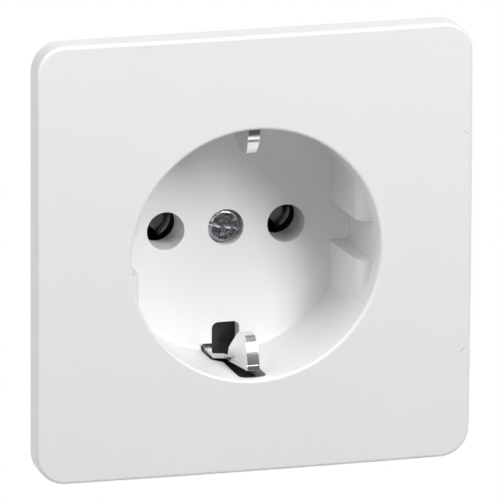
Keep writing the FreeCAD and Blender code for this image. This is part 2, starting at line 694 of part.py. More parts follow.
def screw_head_recess(body, face, span="recess_span"):
    """Cross recess with a straight slot through it, cut from the head's face towards +Y."""
    cross = new_sketch(body, "XZ_Plane", f"-({face})")
    arm = "recess_arm / 2"
    far = f"{span} / 2"
    outline(
        cross,
        [
            (f"-{far}", f"-{arm}"),
            (f"-{arm}", f"-{arm}"),
            (f"-{arm}", f"-{far}"),
            (arm, f"-{far}"),
            (arm, f"-{arm}"),
            (far, f"-{arm}"),
            (far, arm),
            (arm, arm),
            (arm, far),
            (f"-{arm}", far),
            (f"-{arm}", arm),
            (f"-{far}", arm),
        ],
    )
    pocket(body, cross, "recess_depth")
    line = new_sketch(body, "XZ_Plane", f"-({face})")
    rectangle(line, "-claw_screw_head", "claw_screw_head", "-recess_slot / 2", "recess_slot / 2")
    pocket(body, line, "recess_slot_depth")


def recess_ticks(body, face):
    """Four shallow ticks between the arms of the cross."""
    near, far, half = 0.75, 1.5, "recess_tick / 2 * 0.7071"
    ticks = new_sketch(body, "XZ_Plane", f"-({face})")
    for sx in (-1, 1):
        for sz in (-1, 1):
            a, b = f"{sx} * {half}", f"{sz} * {half}"
            outline(
                ticks,
                [
                    (f"{sx * near} - {a}", f"{sz * near} + {b}"),
                    (f"{sx * near} + {a}", f"{sz * near} - {b}"),
                    (f"{sx * far} + {a}", f"{sz * far} - {b}"),
                    (f"{sx * far} - {a}", f"{sz * far} + {b}"),
                ],
            )
    pocket(body, ticks, "recess_tick_depth")


def make_screw(label, face, head, height, shank, length, recess=True):
    """A pan head screw along +Y, its head's face at the given depth."""
    body = new_body(label)
    profile = new_sketch(body, "XY_Plane")
    crown = f"({height} * 0.35)"
    outline(
        profile,
        [
            ("0", face),
            (f"{head} / 2 - {crown}", face),
            (f"{head} / 2", f"{face} + {crown}"),
            (f"{head} / 2", f"{face} + {height}"),
            (f"{shank} / 2", f"{face} + {height}"),
            (f"{shank} / 2", f"{face} + {height} + {length} - 0.5"),
            (f"{shank} / 2 - 0.5", f"{face} + {height} + {length}"),
            ("0", f"{face} + {height} + {length}"),
        ],
        {1: crown},
    )
    turned(body, "Revolution", profile)
    if recess:
        screw_head_recess(body, face)
    return body


def make_base():
    """Insulating base: wall round the well, bosses for the ring, and the contact chambers."""
    body = new_body("base")
    block = new_sketch(body, "XZ_Plane", "-base_depth")
    circle(block, "0", "0", BASE_RADIUS)
    pad(body, block, f"base_depth - {BASE_FRONT}")
    cage = new_sketch(body, "XZ_Plane", f"-{CHAMBER_FRONT}")
    circle(cage, "0", "0", CAGE_RADIUS)
    circle(cage, "0", "0", f"{TUBE_RADIUS} + wall_gap")
    pad(body, cage, CHAMBER_FRONT)
    bosses = new_sketch(body, "XZ_Plane", "-boss_depth")
    for x in ("-1", "1"):
        for z in ("-1", "1"):
            circle(bosses, f"{x} * {BOSS_X}", f"{z} * {BOSS_Z}", "boss_radius")
    pad(body, bosses, "boss_depth")
    claws = new_sketch(body, "XZ_Plane", "-base_depth - 1")
    for side in ("-1", "1"):
        near = f"{side} * ({CLAW_ARM} - claw_pocket_gap)"
        far = f"{side} * ({CAGE_RADIUS} + 8)"
        middle = f"(-{side} * claw_height)"
        left, right = (near, far) if side == "1" else (far, near)
        rectangle(claws, left, right, f"{middle} - {POCKET_HALF}", f"{middle} + {POCKET_HALF}")
    pocket(body, claws, "base_depth + 2", Reversed=True)

    chambers = new_sketch(body, "XZ_Plane", "-base_depth - 1")
    for side in ("-1", "1"):
        middle = f"{side} * pin_pitch / 2"
        rectangle(
            chambers,
            f"{middle} - chamber_half",
            f"{middle} + chamber_half",
            "-chamber_low",
            "chamber_top",
        )
    rectangle(chambers, "-chamber_half", "chamber_half", "-chamber_top", "-busbar_place + 0.2")
    pocket(body, chambers, f"base_depth + 1 - {CHAMBER_FRONT}", Reversed=True)

    fronts = new_sketch(body, "XZ_Plane", f"-{BASE_FRONT} + 1")
    for side in ("-1", "1"):
        circle(fronts, f"{side} * pin_pitch / 2", "0", "pin_hole / 2 + collar_wall + wall_gap")
    pocket(body, fronts, f"{FLOOR_REAR} + collar_length + wall_gap - {BASE_FRONT} + 1")
    through = new_sketch(body, "XZ_Plane", f"-{BASE_FRONT} + 1")
    for side in ("-1", "1"):
        circle(through, f"{side} * pin_pitch / 2", "0", "pin_hole / 2")
    rectangle(
        through,
        "-chamber_half + wall_gap",
        "chamber_half - wall_gap",
        "-busbar_place - contact_sheet - fit_gap",
        "-busbar_place + fit_gap",
    )
    pocket(body, through, "base_front_wall + 2")
    collar_room = new_sketch(body, "XZ_Plane", f"-{BASE_FRONT} + 1")
    circle(collar_room, "0", "0", "bow_collar + wall_gap")
    pocket(body, collar_room, "bow_collar_length + wall_gap + 1")
    middle_hole = new_sketch(body, "XZ_Plane", f"-{BASE_FRONT} + 1")
    circle(middle_hole, "0", "0", "cover_screw_shank / 2 + wall_gap")
    pocket(body, middle_hole, "cover_screw_length")
    rivets = new_sketch(body, "XZ_Plane", "1")
    for x in ("-1", "1"):
        for z in ("-1", "1"):
            circle(rivets, f"{x} * {BOSS_X}", f"{z} * {BOSS_Z}", "rivet_shank / 2 + fit_gap")
    pocket(body, rivets, "rivet_length + 1.5")
    lid_screws = new_sketch(body, "XZ_Plane", "-base_depth - 1")
    for x, z in lid_screw_places():
        circle(lid_screws, x, z, "lid_screw_shank / 2 + fit_gap")
    pocket(body, lid_screws, "lid_screw_length + 1.5", Reversed=True)
    return body


def lid_screw_places():
    reach = f"({BASE_RADIUS} - lid_screw_inset)"
    return [("0", reach), (f"-{reach} * 0.76", f"-{reach} * 0.65"), (f"{reach} * 0.76", f"-{reach} * 0.65")]


def make_lid():
    """Terminal cover: closes the chambers, with the wire entries and the release slots."""
    body = new_body("terminal_cover")
    plan = new_sketch(body, "XZ_Plane", f"-{LID_REAR}")
    circle(plan, "0", "0", BASE_RADIUS)
    pad(body, plan, "lid_sheet")
    claws = new_sketch(body, "XZ_Plane", f"-{LID_REAR} - 1")
    for side in ("-1", "1"):
        near = f"{side} * ({CLAW_ARM} - claw_pocket_gap)"
        far = f"{side} * ({CAGE_RADIUS} + 8)"
        middle = f"(-{side} * claw_height)"
        left, right = (near, far) if side == "1" else (far, near)
        rectangle(claws, left, right, f"{middle} - {POCKET_HALF}", f"{middle} + {POCKET_HALF}")
    pocket(body, claws, "lid_sheet + 2", Reversed=True)
    holes = new_sketch(body, "XZ_Plane", f"-{LID_REAR} - 1")
    for x, up in (("-pin_pitch / 2", "1"), ("pin_pitch / 2", "1"), ("0", "-1")):
        for side in ("-1", "1"):
            circle(holes, f"{x} + {side} * clamp_pitch / 2", f"{up} * wire_place", "wire_hole / 2")
        middle = f"{up} * button_place"
        wide = "(button_width / 2 + button_gap)"
        tall = "(button_height / 2 + button_gap)"
        rectangle(holes, f"{x} - {wide}", f"{x} + {wide}", f"{middle} - {tall}", f"{middle} + {tall}")
    for x, z in lid_screw_places():
        circle(holes, x, z, "lid_screw_shank / 2 + fit_gap")
    pocket(body, holes, "lid_sheet + 2", Reversed=True)
    rear = number(LID_REAR)
    wire = number("wire_hole / 2")

    def wire_mouth(edge):
        box = edge.BoundBox
        return box.YLength < 1e-3 and box.YMin > rear - 1e-3 and abs(box.XLength / 2 - wire) < 1e-3

    dress(body, "Chamfer", "wire_funnel", wire_mouth)
    return body


def make_contact(name, side):
    """Pin contact of one pole: split tulip, web, and the busbar that the wires are clamped on."""
    body = new_body(name + "_contact")
    inner = "(pin_diameter / 2)"
    outer = "(pin_diameter / 2 + contact_sheet)"
    profile = new_sketch(body, "XY_Plane")
    outline(
        profile,
        [
            (inner, f"{CONTACT_FRONT} + 1.2"),
            (f"{inner} + contact_flare", CONTACT_FRONT),
            (f"{outer} + contact_flare", CONTACT_FRONT),
            (outer, f"{CONTACT_FRONT} + 1.2"),
            (outer, f"{CONTACT_REAR} + 0.2"),
            (inner, f"{CONTACT_REAR} + 0.2"),
        ],
    )
    turned(body, "Revolution", profile)
    split = new_sketch(body, "XZ_Plane", f"-{CONTACT_REAR}")
    rectangle(split, "-contact_split / 2", "contact_split / 2", "-5", "5")
    pocket(body, split, f"{CONTACT_REAR} - {CONTACT_FRONT} + 1", Reversed=True)
    web = new_sketch(body, "XZ_Plane", f"-{CONTACT_REAR} - contact_sheet")
    rectangle(web, f"-{outer}", outer, f"-{outer}", "busbar_place + contact_sheet")
    pad(body, web, "contact_sheet")
    bar = new_sketch(body, "XZ_Plane", f"-{CONTACT_REAR} - contact_sheet")
    half = "(chamber_half - wall_gap)"
    rectangle(bar, f"-{half}", half, "busbar_place", "busbar_place + contact_sheet")
    pad(body, bar, f"{CONTACT_REAR} + contact_sheet - {CHAMBER_FRONT} - busbar_inset")
    body.setExpression("Placement.Base.x", bound(f"{side} * pin_pitch / 2"))
    return body


def make_grip_spring(name, side):
    """Steel ring, open on one side, that presses the two blades of a contact together."""
    body = new_body(name + "_grip_spring")
    inner = "(pin_diameter / 2 + contact_sheet + fit_gap)"
    plan = new_sketch(body, "XZ_Plane", f"-{CONTACT_FRONT} - grip_inset - grip_length")
    circle(plan, "0", "0", f"{inner} + grip_sheet")
    circle(plan, "0", "0", inner)
    pad(body, plan, "grip_length")
    gap = new_sketch(body, "XZ_Plane", f"-{CONTACT_FRONT} - grip_inset - grip_length - 1")
    rectangle(gap, "-contact_split / 2", "contact_split / 2", "-6", "0")
    pocket(body, gap, "grip_length + 2", Reversed=True)
    body.setExpression("Placement.Base.x", bound(f"{side} * pin_pitch / 2"))
    return body


def clamp_spring(offset):
    """One clamp spring: its fixed leg lies along the chamber's end, its free leg leans on the wire."""
    to_space = FreeCAD.Matrix(0, 0, 1, 0, 1, 0, 0, 0, 0, 1, 0, 0)
    top = number(CLAMP_END)
    tip = number(CLAMP_LOW)
    half = number("clamp_width / 2")
    path = [
        (number(CLAMP_FRONT), top),
        (number(CLAMP_REAR), top),
        (number(CLAMP_TIP), tip),
    ]
    mirrored = [(y, -z) for y, z in path]
    solid = bent_sheet(
        mirrored, number("clamp_sheet"), number("clamp_bend"), (offset - half, offset + half), to_space
    )
    return solid.mirror(Vector(0, 0, 0), Vector(0, 0, 1))


def make_clamp_springs(name, x, up):
    """The two clamp springs of one terminal."""
    pitch = number("clamp_pitch / 2")
    pair = Part.makeCompound([clamp_spring(-pitch), clamp_spring(pitch)])
    item = new_solid(name + "_clamp_springs", pair)
    turn = Rotation(Vector(0, 1, 0), 0 if up else 180)
    item.Placement = Placement(Vector(number(x), 0, 0), turn)
    return item


def make_button(name, x, up):
    """Release button: pushed from the rear, its foot bends the two clamp springs away."""
    body = new_body(name + "_release_button")
    wide, tall = "(button_width / 2)", "(button_height / 2)"
    inside = "(base_depth - button_gap)"
    stem = new_sketch(body, "XZ_Plane", f"-{LID_REAR} - button_proud")
    rectangle(stem, f"-{wide}", wide, f"button_place - {tall}", f"button_place + {tall}")
    pad(body, stem, f"{LID_REAR} + button_proud - {BUTTON_FOOT}")
    flange = new_sketch(body, "XZ_Plane", f"-{inside}")
    rectangle(
        flange,
        f"-{wide} - button_flange",
        f"{wide} + button_flange",
        f"button_place - {tall} - button_flange / 2",
        f"button_place + {tall} + button_flange",
    )
    pad(body, flange, "button_flange_sheet")
    rear = number(f"{LID_REAR} + button_proud")

    def outer_edge(edge):
        box = edge.BoundBox
        return box.YMin > rear - 1e-3

    dress(body, "Fillet", "0.4", outer_edge)
    body.setExpression("Placement.Base.x", bound(x))
    if not up:
        body.Placement = Placement(Vector(0, 0, 0), Rotation(Vector(0, 1, 0), 180))
    return body


def tapered_block(low, high, half_width):
    """A block from low to high in depth and height, its half width given at any depth and height."""
    corners = {}
    for side in (-1, 1):
        for y in (low[0], high[0]):
            for z in (low[1], high[1]):
                corners[side, y, z] = Vector(side * half_width(y, z), y, z)
    (y0, z0), (y1, z1) = low, high
    loops = [
        [(side, y0, z0), (side, y1, z0), (side, y1, z1), (side, y0, z1)] for side in (-1, 1)
    ]
    for y in (y0, y1):
        loops.append([(-1, y, z0), (1, y, z0), (1, y, z1), (-1, y, z1)])
    for z in (z0, z1):
        loops.append([(-1, y0, z), (1, y0, z), (1, y1, z), (-1, y1, z)])
    faces = [Part.Face(Part.makePolygon([corners[key] for key in loop + loop[:1]])) for loop in loops]
    return Part.Solid(Part.Shell(faces))


def clip_nose():
    """Pressed nose of the upper earth clip: closed sides that run together towards front and ridge,
    hollow behind."""
    arm = number(BOW_ARM)
    ridge = arm - number("clip_reach")
    bend = arm - number("clip_front_height")
    front = number(f"{FLOOR} - clip_front")
    back = number(f"{FLOOR} - clip_shoulder")
    sheet_size = number("bow_sheet")
    foot = number("clip_width / 2")
    slim = number("clip_nose_width / 2")
    depth = back - front
    brow = number("clip_brow")

    def side_view(inset):
        ahead, behind, top = front + inset, back - inset * 1.6, ridge + inset
        low = arm + sheet_size
        points = [
            Vector(0, ahead, low),
            Vector(0, ahead, bend),
            Vector(0, ahead + brow, top),
            Vector(0, ahead + depth * 0.45, top),
            Vector(0, behind - depth * 0.23, arm - (arm - ridge) * 0.28 + inset * 0.6),
            Vector(0, behind - depth * 0.17, low),
        ]
        pull = 0.55
        curve = Part.BezierCurve()
        curve.setPoles([
            points[1],
            points[1] + Vector(0, 0, (top - bend) * pull),
            points[2] - Vector(0, brow * pull, 0),
            points[2],
        ])
        edges = [
            Part.LineSegment(points[0], points[1]).toShape(),
            curve.toShape(),
            Part.LineSegment(points[2], points[3]).toShape(),
            Part.LineSegment(points[3], points[4]).toShape(),
            Part.LineSegment(points[4], points[5]).toShape(),
            Part.LineSegment(points[5], points[0]).toShape(),
        ]
        return Part.Face(Part.Wire(edges))

    def pressed(inset):
        slab = side_view(inset).extrude(Vector(2 * foot + 2, 0, 0))
        slab.translate(Vector(-foot - 1, 0, 0))
        lower_fall = (foot - slim) / depth
        a = Vector(foot - 0.05, back - depth * 0.12, arm - 1.0)
        b = Vector(slim, front, bend)
        c = Vector(slim, front + depth * 0.3, ridge)
        normal = (b - a).cross(c - a)

        def lower(y, z):
            return slim + (y - front) * lower_fall - inset

        def upper(y, z):
            return a.x - (normal.y * (y - a.y) + normal.z * (z - a.z)) / normal.x - inset

        ends = (front - 0.5, ridge - 0.5), (back + 0.5, arm + sheet_size)
        return slab.common(tapered_block(*ends, lower)).common(tapered_block(*ends, upper))

    return pressed(0.0).cut(pressed(sheet_size * 0.75))


def make_earth_bow():
    """Earth bow: one bent strip with a sprung clip at each end, a drawn collar with the thread of
    the cover screw, and a tail that the earth wires are clamped on."""
    to_space = FreeCAD.Matrix(0, 0, 1, 0, 1, 0, 0, 0, 0, 1, 0, 0)
    arm = number(BOW_ARM)
    sheet_size = number("bow_sheet")
    front = number(f"{FLOOR} - clip_front")
    shoulder = number(f"{FLOOR} - clip_shoulder")
    strip_y = number(BOW_FRONT)
    half = number("bow_width / 2")
    slim = number("clip_width / 2")
    nose = number("clip_nose_width / 2")
    lean = number("bow_lean")
    path = [(front, arm - lean), (strip_y, arm), (strip_y, -arm), (front, lean - arm)]
    bow = bent_sheet(path, sheet_size, number("bow_bend"), (-half, half), to_space)
    for side in (-1, 1):
        corner = Part.makePolygon([
            Vector(side * nose, front - 1, 0),
            Vector(side * (half + 1), front - 1, 0),
            Vector(side * (half + 1), shoulder + 1, 0),
            Vector(side * half, shoulder, 0),
            Vector(side * slim, shoulder - (half - slim) * 0.4, 0),
            Vector(side * nose, front, 0),
            Vector(side * nose, front - 1, 0),
        ])
        trim = Part.Face(corner).extrude(Vector(0, 0, 2 * (arm + 3)))
        trim.translate(Vector(0, 0, -arm - 3))
        bow = bow.cut(trim)
    hollow = nose - sheet_size * 0.75
    inside = box_between(
        (-hollow, front + sheet_size * 0.75, arm - 0.01),
        (hollow, shoulder - sheet_size * 1.2, arm + sheet_size + 0.01),
    )
    upper = clip_nose()
    slant = math.degrees(math.asin(lean / (strip_y - front)))
    for item in (inside, upper):
        item.rotate(Vector(0, strip_y, arm), Vector(1, 0, 0), slant)
    for flip in (False, True):
        room, clip = inside, upper
        if flip:
            room = inside.mirror(Vector(0, 0, 0), Vector(0, 0, 1))
            clip = upper.mirror(Vector(0, 0, 0), Vector(0, 0, 1))
        bow = bow.cut(room).fuse(clip)
    bow.translate(Vector(0, 0, number("bow_float")))
    bar = number("contact_sheet")
    place = number("busbar_place")
    bow = bow.fuse(
        box_between((-half, strip_y, -place - bar), (half, number(CONTACT_REAR), -place))
    )
    gap = number("bow_window_gap")
    wide = slim + number("slot_clearance") + gap
    near = arm - number("opening_reach") - gap
    for low, high in ((near, arm + number("bow_float")), (-arm + number("bow_float"), -near)):
        bow = bow.cut(box_between((-wide, strip_y - 1, low), (wide, strip_y + 2, high)))
    collar_end = strip_y + sheet_size + number("bow_collar_length")
    bow = bow.fuse(rod(number("bow_collar"), (0, strip_y, 0), (0, collar_end, 0)))
    hole = number("cover_screw_shank / 2 + fit_gap")
    bow = bow.cut(rod(hole, (0, strip_y - 2, 0), (0, collar_end + 1, 0)))
    return new_solid("earth_bow", bow.removeSplitter())


def make_claw(name, turn):
    """Spreading claw: hinged on the ring's lugs, its tab is drawn forward by the claw screw."""
    arm = number(CLAW_ARM)
    tab = number("claw_tab")
    thick = number("claw_sheet")
    reach = number(f"{CLAW_SCREW} + claw_tab_end")
    end = number("claw_end")
    half = number("claw_width / 2")
    path = [
        (reach, tab),
        (arm, tab),
        (arm, end),
        (arm + number("claw_tip_out"), end + number("claw_tip_back")),
    ]
    flat = FreeCAD.Matrix()
    claw = bent_sheet(path[::-1], thick, number("claw_bend"), (-half, half), flat)
    hinge_x, hinge_y = number(HINGE_X), number(HINGE_Y)
    span = number(f"{LUG_INNER} + lug_sheet + fit_gap")
    claw = claw.fuse(rod(number("trunnion / 2"), (hinge_x, hinge_y, -span), (hinge_x, hinge_y, span)))
    screw = number(CLAW_SCREW)
    hole = number("claw_screw_shank / 2 + claw_screw_gap")
    room = number("claw_tilt_room")
    for x in (screw - room, screw + room):
        claw = claw.cut(rod(hole, (x, tab - 1, 0), (x, tab + thick + 1, 0)))
    claw = claw.cut(box_between((screw - room, tab - 1, -hole), (screw + room, tab + thick + 1, hole)))
    tooth = number("claw_tooth")
    tip = Vector(arm + number("claw_tip_out"), end + number("claw_tip_back"), 0)
    way = Vector(number("claw_tip_out"), number("claw_tip_back"), 0).normalize()
    base = tip + way * 1.5
    up = Vector(way.y, -way.x, 0) * (thick * 3)
    pitch = 2 * half / 3
    for z in (-half, -half + pitch, half - pitch, half):
        notch = Part.makePolygon([
            base + Vector(0, 0, z - pitch / 2), base + Vector(0, 0, z + pitch / 2),
            tip - way * tooth + Vector(0, 0, z), base + Vector(0, 0, z - pitch / 2),
        ])
        cut = Part.Face(notch).extrude(up * 2)
        cut.translate(up * -1)
        claw = claw.cut(cut)
    item = new_solid(name, claw.removeSplitter())
    middle = -number("claw_height")
    turned_place = Placement(Vector(0, 0, 0), Rotation(Vector(0, 1, 0), turn))
    item.Placement = turned_place.multiply(Placement(Vector(0, 0, middle), Rotation()))
    return item


def make_ring_rivets():
    """Four rivets that hold the support ring on the base's bosses."""
    shank = number("rivet_shank / 2")
    front = number("-ring_sheet")
    top = number("rivet_head_height")
    head = Part.makeCylinder(number("rivet_head / 2"), top, Vector(0, front - top, 0), Vector(0, 1, 0))
    edge = [e for e in head.Edges if e.BoundBox.YMax < front - top + 1e-6]
    head = head.makeFillet(top * 0.6, edge)
    rivet = head.fuse(rod(shank, (0, front, 0), (0, number("rivet_length"), 0)))
    x, z = number(BOSS_X), number(BOSS_Z)
    places = [(sx * x, sz * z) for sx in (-1, 1) for sz in (-1, 1)]
    solids = [rivet.translated(Vector(px, 0, pz)) for px, pz in places]
    return new_solid("ring_rivets", Part.makeCompound(solids))


def make_lid_screws():
    """Three small screws of the terminal cover, driven from the rear."""
    rear = number(LID_REAR)
    height = number("lid_screw_height")
    head = Part.makeCylinder(number("lid_screw_head / 2"), height, Vector(0, rear, 0), Vector(0, 1, 0))
    edge = [e for e in head.Edges if e.BoundBox.YMin > rear + height - 1e-6]
    head = head.makeFillet(height * 0.4, edge)
    end = rear - number("lid_sheet + lid_screw_length")
    shank = rod(number("lid_screw_shank / 2"), (0, rear, 0), (0, end, 0))
    arm, span, deep = 0.3, 1.1, height * 0.6
    screw = head.fuse(shank)
    for wide, tall in ((span, arm), (arm, span)):
        screw = screw.cut(box_between((-wide, rear + height - deep, -tall), (wide, rear + height + 1, tall)))
    solids = [screw.translated(Vector(number(x), 0, number(z))) for x, z in lid_screw_places()]
    return new_solid("terminal_cover_screws", Part.makeCompound(solids))


make_cover()
cover_screw = make_screw(
    "cover_screw",
    f"({FLOOR} + seat_depth - cover_screw_height)",
    "cover_screw_head",
    "cover_screw_height",
    "cover_screw_shank",
    "cover_screw_length",
)
recess_ticks(cover_screw, f"({FLOOR} + seat_depth - cover_screw_height)")
cover_screw.Placement = Placement(
    Vector(0, 0, 0), Rotation(Vector(0, 1, 0), number("cover_screw_turn"))
)
make_ring()
make_ring_rivets()
make_base()
make_lid()
make_lid_screws()
make_earth_bow()
for pole, sign in (("live", "-1"), ("neutral", "1")):
    make_contact(pole, sign)
    make_grip_spring(pole, sign)
for pole, place_x, above in (
    ("live", "-pin_pitch / 2", True),
    ("neutral", "pin_pitch / 2", True),
    ("earth", "0", False),
):
    make_clamp_springs(pole, place_x, above)
    make_button(pole, place_x, above)
for hand, angle, sign in (("right", 0, "1"), ("left", 180, "-1")):
    make_claw("claw_" + hand, angle)
    screw_body = make_screw(
        "claw_screw_" + hand,
        "(-ring_sheet - claw_screw_height)",
        "claw_screw_head",
        "claw_screw_height",
        "claw_screw_shank",
        "claw_screw_length",
    )
    screw_body.setExpression("Placement.Base.x", bound(f"{sign} * {CLAW_SCREW}"))
    screw_body.setExpression("Placement.Base.z", bound(f"-{sign} * claw_height"))
doc.recompute()

faulty = [item.Label for item in doc.Objects if {"Invalid", "Error"} & set(item.State)]
if faulty:
    raise RuntimeError("these objects failed: " + ", ".join(faulty))
for piece in PIECES:
    if piece.Shape.isNull() or not piece.Shape.isValid():
        raise RuntimeError(piece.Label + " has no valid shape")

os.makedirs("parts", exist_ok=True)
for piece in PIECES:
    piece.Shape.exportStep(f"parts/{piece.Label}.step")
    box = piece.Shape.BoundBox
    print(
        f"{piece.Label:24s} solids {len(piece.Shape.Solids)} volume {piece.Shape.Volume:9.2f}"
        f" x {box.XMin:7.2f} {box.XMax:7.2f} y {box.YMin:6.2f} {box.YMax:6.2f}"
        f" z {box.ZMin:7.2f} {box.ZMax:7.2f}"
    )
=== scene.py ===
import bpy
import math
from mathutils import Matrix, Vector


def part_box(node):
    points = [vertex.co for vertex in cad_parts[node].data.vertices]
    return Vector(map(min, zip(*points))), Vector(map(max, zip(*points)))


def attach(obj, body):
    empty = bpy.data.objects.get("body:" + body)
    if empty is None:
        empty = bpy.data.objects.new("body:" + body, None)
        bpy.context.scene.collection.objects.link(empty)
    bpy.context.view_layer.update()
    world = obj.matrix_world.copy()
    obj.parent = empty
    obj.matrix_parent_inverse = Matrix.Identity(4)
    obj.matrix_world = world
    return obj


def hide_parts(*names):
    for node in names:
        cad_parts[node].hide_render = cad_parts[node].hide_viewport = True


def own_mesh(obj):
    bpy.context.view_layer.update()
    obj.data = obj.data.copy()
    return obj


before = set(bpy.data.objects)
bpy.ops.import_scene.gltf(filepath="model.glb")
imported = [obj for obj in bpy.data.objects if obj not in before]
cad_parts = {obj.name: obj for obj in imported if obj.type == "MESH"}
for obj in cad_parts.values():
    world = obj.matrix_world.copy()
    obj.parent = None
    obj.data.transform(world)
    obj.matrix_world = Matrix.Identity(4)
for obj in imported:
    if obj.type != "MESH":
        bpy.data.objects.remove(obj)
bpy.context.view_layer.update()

# The room: a white cyclorama behind and below the outlet, and a dimmer studio in front of it.
# The camera sees plain white. The metal sees the white backdrop behind and the grey room ahead,
# and the dull surfaces get a faint, even light from all sides.
backdrop_way = (0, 0.8, 0.6)
ahead_grey, backdrop_grey = (0.05, 0.05, 0.05, 1), (0.95, 0.95, 0.95, 1)
greys_between = ((0.12, 0.17), (0.50, 0.42), (0.78, 0.55), (0.88, 0.90))
even_light, plain_white = (0.035, 0.035, 0.036, 1), (1, 1, 1, 1)
world = bpy.data.worlds.new("studio_air")
bpy.context.scene.world = world
world.use_nodes = True
air = world.node_tree
sky = air.nodes["Background"]
air_place = air.nodes.new("ShaderNodeTexCoord")
toward_backdrop = air.nodes.new("ShaderNodeVectorMath")
toward_backdrop.operation = "DOT_PRODUCT"
toward_backdrop.inputs[1].default_value = backdrop_way
air.links.new(air_place.outputs["Generated"], toward_backdrop.inputs[0])
backdrop_share = air.nodes.new("ShaderNodeMapRange")
backdrop_share.inputs["From Min"].default_value = -1
air.links.new(toward_backdrop.outputs["Value"], backdrop_share.inputs["Value"])
backdrop = air.nodes.new("ShaderNodeValToRGB")
grey_steps = backdrop.color_ramp.elements
grey_steps[0].position, grey_steps[0].color = 0.0, ahead_grey
grey_steps[1].position, grey_steps[1].color = 1.0, backdrop_grey
for position, grey in greys_between:
    grey_steps.new(position).color = (grey, grey, grey, 1)
air.links.new(backdrop_share.outputs["Result"], backdrop.inputs["Fac"])
sight = air.nodes.new("ShaderNodeLightPath")
seen_in_metal = air.nodes.new("ShaderNodeMix")
seen_in_metal.data_type = "RGBA"
seen_in_metal.inputs["A"].default_value = even_light
air.links.new(sight.outputs["Is Glossy Ray"], seen_in_metal.inputs["Factor"])
air.links.new(backdrop.outputs["Color"], seen_in_metal.inputs["B"])
seen_by_eye = air.nodes.new("ShaderNodeMath")
seen_by_eye.operation = "MAXIMUM"
air.links.new(sight.outputs["Is Camera Ray"], seen_by_eye.inputs[0])
air.links.new(sight.outputs["Is Transmission Ray"], seen_by_eye.inputs[1])
background = air.nodes.new("ShaderNodeMix")
background.data_type = "RGBA"
background.inputs["B"].default_value = plain_white
air.links.new(seen_by_eye.outputs[0], background.inputs["Factor"])
air.links.new(seen_in_metal.outputs["Result"], background.inputs["A"])
air.links.new(background.outputs["Result"], sky.inputs["Color"])

bpy.ops.object.select_all(action="DESELECT")
floor_size, floor_front, floor_level = 16, -0.3, -0.40
bpy.ops.mesh.primitive_plane_add(
    size=floor_size, location=(0, floor_front + floor_size / 2, floor_level)
)
floor = bpy.context.object
floor.name = "studio_floor"
floor_paint = bpy.data.materials.new("floor_paint")
floor_paint.use_nodes = True
tree = floor_paint.node_tree
paint = tree.nodes["Principled BSDF"]
paint.inputs["Base Color"].default_value = (0.86, 0.86, 0.86, 1)
paint.inputs["Roughness"].default_value = 0.9
glow = tree.nodes.new("ShaderNodeEmission")
glow.inputs["Color"].default_value = plain_white
ray = tree.nodes.new("ShaderNodeLightPath")
eye_ray = tree.nodes.new("ShaderNodeMath")
eye_ray.operation = "MAXIMUM"
tree.links.new(ray.outputs["Is Camera Ray"], eye_ray.inputs[0])
tree.links.new(ray.outputs["Is Transmission Ray"], eye_ray.inputs[1])
glowing_ray = tree.nodes.new("ShaderNodeMath")
glowing_ray.operation = "MAXIMUM"
tree.links.new(eye_ray.outputs[0], glowing_ray.inputs[0])
tree.links.new(ray.outputs["Is Glossy Ray"], glowing_ray.inputs[1])
blend = tree.nodes.new("ShaderNodeMixShader")
tree.links.new(glowing_ray.outputs[0], blend.inputs["Fac"])
tree.links.new(paint.outputs["BSDF"], blend.inputs[1])
tree.links.new(glow.outputs["Emission"], blend.inputs[2])
tree.links.new(blend.outputs["Shader"], tree.nodes["Material Output"].inputs["Surface"])
floor.data.materials.append(floor_paint)


# The lamps: a tall soft window high on the right, as the shadow in the well shows, and four
# weak panels: overhead, above on the left, beside the plate's left edge, and in front.
# A narrow card low in front only draws a bright line in the upper clip, and one panel lights the rear.
def lamp(name, way, distance, size, energy, height=None, shines=False):
    way = Vector(way).normalized()
    light = bpy.data.lights.new(name, "AREA")
    light.shape = "RECTANGLE" if height else "DISK"
    light.size = size
    if height:
        light.size_y = height
    light.energy = energy
    holder = bpy.data.objects.new(name, light)
    bpy.context.collection.objects.link(holder)
    holder.visible_glossy = shines
    holder.location = way * distance
    holder.rotation_euler = way.to_track_quat("Z", "Y").to_euler()
    return holder


window_way = Vector((0.36, -0.74, 0.55)).normalized()
window_rise = Vector((-0.15, 0.105, 0.258))
window_rise = (window_rise - window_way * window_rise.dot(window_way)).normalized()
window = lamp("window", window_way, distance=0.8, size=0.24, height=0.46, energy=4.85, shines=True)
window.rotation_euler = Matrix(
    (window_rise.cross(window_way), window_rise, window_way)
).transposed().to_euler()
lamp("ceiling_panel", (0.0, -0.21, 0.98), distance=0.7, size=0.45, energy=1.2)
lamp("left_upper_panel", (-0.7, -0.35, 0.7), distance=0.8, size=0.5, energy=1.8, shines=True)
lamp("left_side_panel", (-0.98, -0.05, 0.1), distance=0.8, size=0.5, energy=1.6)
lamp("front_panel", (-0.2, -1.0, 0.1), distance=1.2, size=0.6, energy=1.5, shines=True)
lamp("low_card", (0.265, -0.688, -0.675), distance=0.8, size=0.5, height=0.05, energy=0.15, shines=True)
lamp("rear_panel", (0.35, 1.0, 0.12), distance=0.5, size=0.3, energy=1.25)


